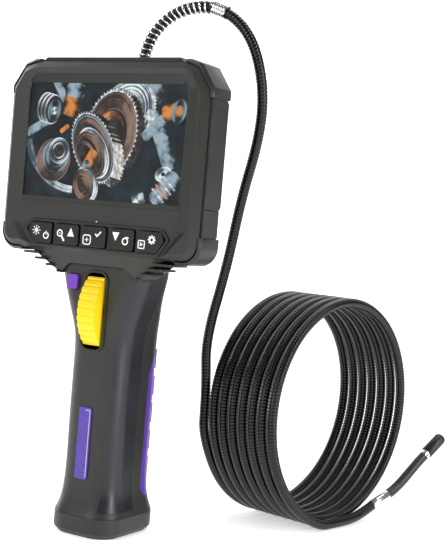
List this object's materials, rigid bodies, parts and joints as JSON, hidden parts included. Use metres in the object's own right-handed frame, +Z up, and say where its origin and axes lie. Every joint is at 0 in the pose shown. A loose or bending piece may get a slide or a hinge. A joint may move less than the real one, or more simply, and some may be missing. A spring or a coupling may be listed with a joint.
{
  "type": "inspection camera",
  "caption": "Hand-held inspection camera with a screen, keys, a pistol handle with a thumb roller, and a long coiled probe cable with a steerable capped tip.",
  "frame": {"origin": "middle of the flat underside of the handle's base, on the surface that it stands on", "axes": "+Z up, screen and keys facing -Y, +X to the user's right"},
  "size_m": [0.1976, 0.2441, 0.3078],
  "materials": {
    "housing": "matte dark housing plastic with a fine spark texture",
    "housing_gloss": "satin black insert plastic",
    "rubber_grip": "soft black overmould rubber with a fine grain",
    "bumper_rubber": "firm black rubber",
    "accent_grip": "purple overmould rubber",
    "accent_plastic": "purple satin plastic",
    "plate_accent": "purple printed plate",
    "roller_yellow": "yellow moulded plastic",
    "display_glass": "clear cover glass with a black printed border",
    "display_panel": "display module",
    "key_plastic": "black key plastic with white symbols",
    "mat_silicone": "grey silicone",
    "board_green": "green solder mask",
    "sheet_steel": "plain sheet steel",
    "bright_steel": "bright nickel plated steel",
    "turned_steel": "turned stainless steel",
    "brass": "plain brass",
    "cable_jacket": "black ribbed cable jacket",
    "cap_plastic": "black cap",
    "lens_glass": "coated lens window",
    "cell_wrap": "shrink wrap on a cell",
    "seal_rubber": "silicone gasket"
  },
  "bodies": {
    "handset": {"front_bezel": "housing", "rear_cover": "housing", "bezel_seal": "seal_rubber", "screen_glass": "display_glass", "lcd_panel": "display_panel", "lcd_bracket": "sheet_steel", "main_board": "board_green", "top_band": "bumper_rubber", "bumper_upper_left": "bumper_rubber", "bumper_upper_right": "bumper_rubber", "bumper_lower_left": "bumper_rubber", "bumper_lower_right": "bumper_rubber", "side_trim_left": "bumper_rubber", "side_trim_right": "bumper_rubber", "usb_socket": "sheet_steel", "card_socket": "sheet_steel", "key_surround": "housing", "key_mat": "mat_silicone", "neck_collar": "housing", "handle_front_plate": "housing", "side_grip_left": "rubber_grip", "side_grip_right": "rubber_grip", "handle_rear_shell": "housing", "rear_grip_insert": "accent_grip", "base_cap": "housing", "nameplate": "plate_accent", "slot_trim": "housing_gloss", "battery_cell": "cell_wrap", "battery_holder": "housing_gloss", "housing_screws": "turned_steel", "mechanism_frame": "housing_gloss", "roller_bushes": "brass", "cable_gland": "bright_steel", "relief_spring": "bright_steel", "relief_ferrule": "bright_steel", "probe_cable_lead": "cable_jacket", "probe_cable_coil": "cable_jacket", "probe_cable_tail": "cable_jacket", "tip_ferrule": "bright_steel"},
    "power_key": {"key_power": "key_plastic"},
    "zoom_key": {"key_zoom": "key_plastic"},
    "capture_key": {"key_capture": "key_plastic"},
    "rotate_key": {"key_rotate": "key_plastic"},
    "play_key": {"key_play": "key_plastic"},
    "lock": {"lock_button": "accent_plastic"},
    "roller": {"thumb_roller": "roller_yellow", "roller_shaft": "turned_steel", "cable_drum": "brass"},
    "front_wire": {"steering_wire_front": "turned_steel"},
    "rear_wire": {"steering_wire_rear": "turned_steel"},
    "port_door": {"port_cover": "bumper_rubber"},
    "link_1": {"tip_link_1": "turned_steel"},
    "link_2": {"tip_link_2": "turned_steel"},
    "link_3": {"tip_link_3": "turned_steel"},
    "link_4": {"tip_link_4": "turned_steel"},
    "link_5": {"tip_link_5": "turned_steel"},
    "link_6": {"tip_link_6": "turned_steel"},
    "camera": {"camera_barrel": "turned_steel", "lens_window": "lens_glass"},
    "cap": {"lens_cap": "cap_plastic"}
  },
  "joints": [
    {"name": "power_key_press", "type": "slide", "parent": "handset", "child": "power_key", "axis": [0, 1, 0], "range_m": [0, 0.0008], "stiffness_N_per_m": 500, "springref_m": -0.001},
    {"name": "zoom_key_press", "type": "slide", "parent": "handset", "child": "zoom_key", "axis": [0, 1, 0], "range_m": [0, 0.0008], "stiffness_N_per_m": 500, "springref_m": -0.001},
    {"name": "capture_key_press", "type": "slide", "parent": "handset", "child": "capture_key", "axis": [0, 1, 0], "range_m": [0, 0.0008], "stiffness_N_per_m": 500, "springref_m": -0.001},
    {"name": "rotate_key_press", "type": "slide", "parent": "handset", "child": "rotate_key", "axis": [0, 1, 0], "range_m": [0, 0.0008], "stiffness_N_per_m": 500, "springref_m": -0.001},
    {"name": "play_key_press", "type": "slide", "parent": "handset", "child": "play_key", "axis": [0, 1, 0], "range_m": [0, 0.0008], "stiffness_N_per_m": 500, "springref_m": -0.001},
    {"name": "lock_press", "type": "slide", "parent": "handset", "child": "lock", "axis": [0, 1, 0], "range_m": [0, 0.002], "stiffness_N_per_m": 400, "springref_m": -0.002},
    {"name": "roller_turn", "type": "hinge", "parent": "handset", "child": "roller", "pos_m": [0, -0.0061, 0.1275], "axis": [1, 0, 0], "range_deg": [-30, 30]},
    {"name": "front_wire_pull", "type": "slide", "parent": "handset", "child": "front_wire", "axis": [0, 0, 1], "range_m": [-0.0046, 0.0046]},
    {"name": "rear_wire_pull", "type": "slide", "parent": "handset", "child": "rear_wire", "axis": [0, 0, 1], "range_m": [-0.0046, 0.0046]},
    {"name": "tip_bend_1", "type": "hinge", "parent": "handset", "child": "link_1", "pos_m": [0.10873, 0.16849, 0.01657], "axis": [-0.1565, -0.3892, 0.9078], "range_deg": [-17.1, 17.1]},
    {"name": "tip_bend_2", "type": "hinge", "parent": "link_1", "child": "link_2", "pos_m": [0.11045, 0.17279, 0.01935], "axis": [-0.1921, -0.4779, 0.8572], "range_deg": [-17.1, 17.1]},
    {"name": "tip_bend_3", "type": "hinge", "parent": "link_2", "child": "link_3", "pos_m": [0.11207, 0.17681, 0.02256], "axis": [-0.2219, -0.5519, 0.8039], "range_deg": [-17.1, 17.1]},
    {"name": "tip_bend_4", "type": "hinge", "parent": "link_3", "child": "link_4", "pos_m": [0.1136, 0.18062, 0.02607], "axis": [-0.2422, -0.6026, 0.7604], "range_deg": [-17.1, 17.1]},
    {"name": "tip_bend_5", "type": "hinge", "parent": "link_4", "child": "link_5", "pos_m": [0.1151, 0.18435, 0.02968], "axis": [-0.2496, -0.6208, 0.7431], "range_deg": [-17.1, 17.1]},
    {"name": "tip_bend_6", "type": "hinge", "parent": "link_5", "child": "link_6", "pos_m": [0.11661, 0.1881, 0.03326], "axis": [-0.2471, -0.6148, 0.749], "range_deg": [-17.1, 17.1]},
    {"name": "tip_bend_7", "type": "hinge", "parent": "link_6", "child": "camera", "pos_m": [0.11815, 0.19194, 0.03673], "axis": [-0.2398, -0.5964, 0.766], "range_deg": [-17.1, 17.1]},
    {"name": "port_cover_hinge", "type": "hinge", "parent": "handset", "child": "port_door", "pos_m": [0.0684, -0.0114, 0.2184], "axis": [0, 0, 1], "range_deg": [0, 110]},
    {"name": "cap_pull_off", "type": "slide", "parent": "camera", "child": "cap", "axis": [0.2959, 0.7361, 0.6088], "range_m": [0, 0.018]}
  ],
  "couplings": [
    {"joint": "front_wire_pull", "follows": "roller_turn", "m_per_rad": -0.0086},
    {"joint": "rear_wire_pull", "follows": "roller_turn", "m_per_rad": 0.0086},
    {"joint": "tip_bend_1", "follows": "roller_turn", "ratio": 0.56667},
    {"joint": "tip_bend_2", "follows": "roller_turn", "ratio": 0.56667},
    {"joint": "tip_bend_3", "follows": "roller_turn", "ratio": 0.56667},
    {"joint": "tip_bend_4", "follows": "roller_turn", "ratio": 0.56667},
    {"joint": "tip_bend_5", "follows": "roller_turn", "ratio": 0.56667},
    {"joint": "tip_bend_6", "follows": "roller_turn", "ratio": 0.56667},
    {"joint": "tip_bend_7", "follows": "roller_turn", "ratio": 0.56667}
  ]
}
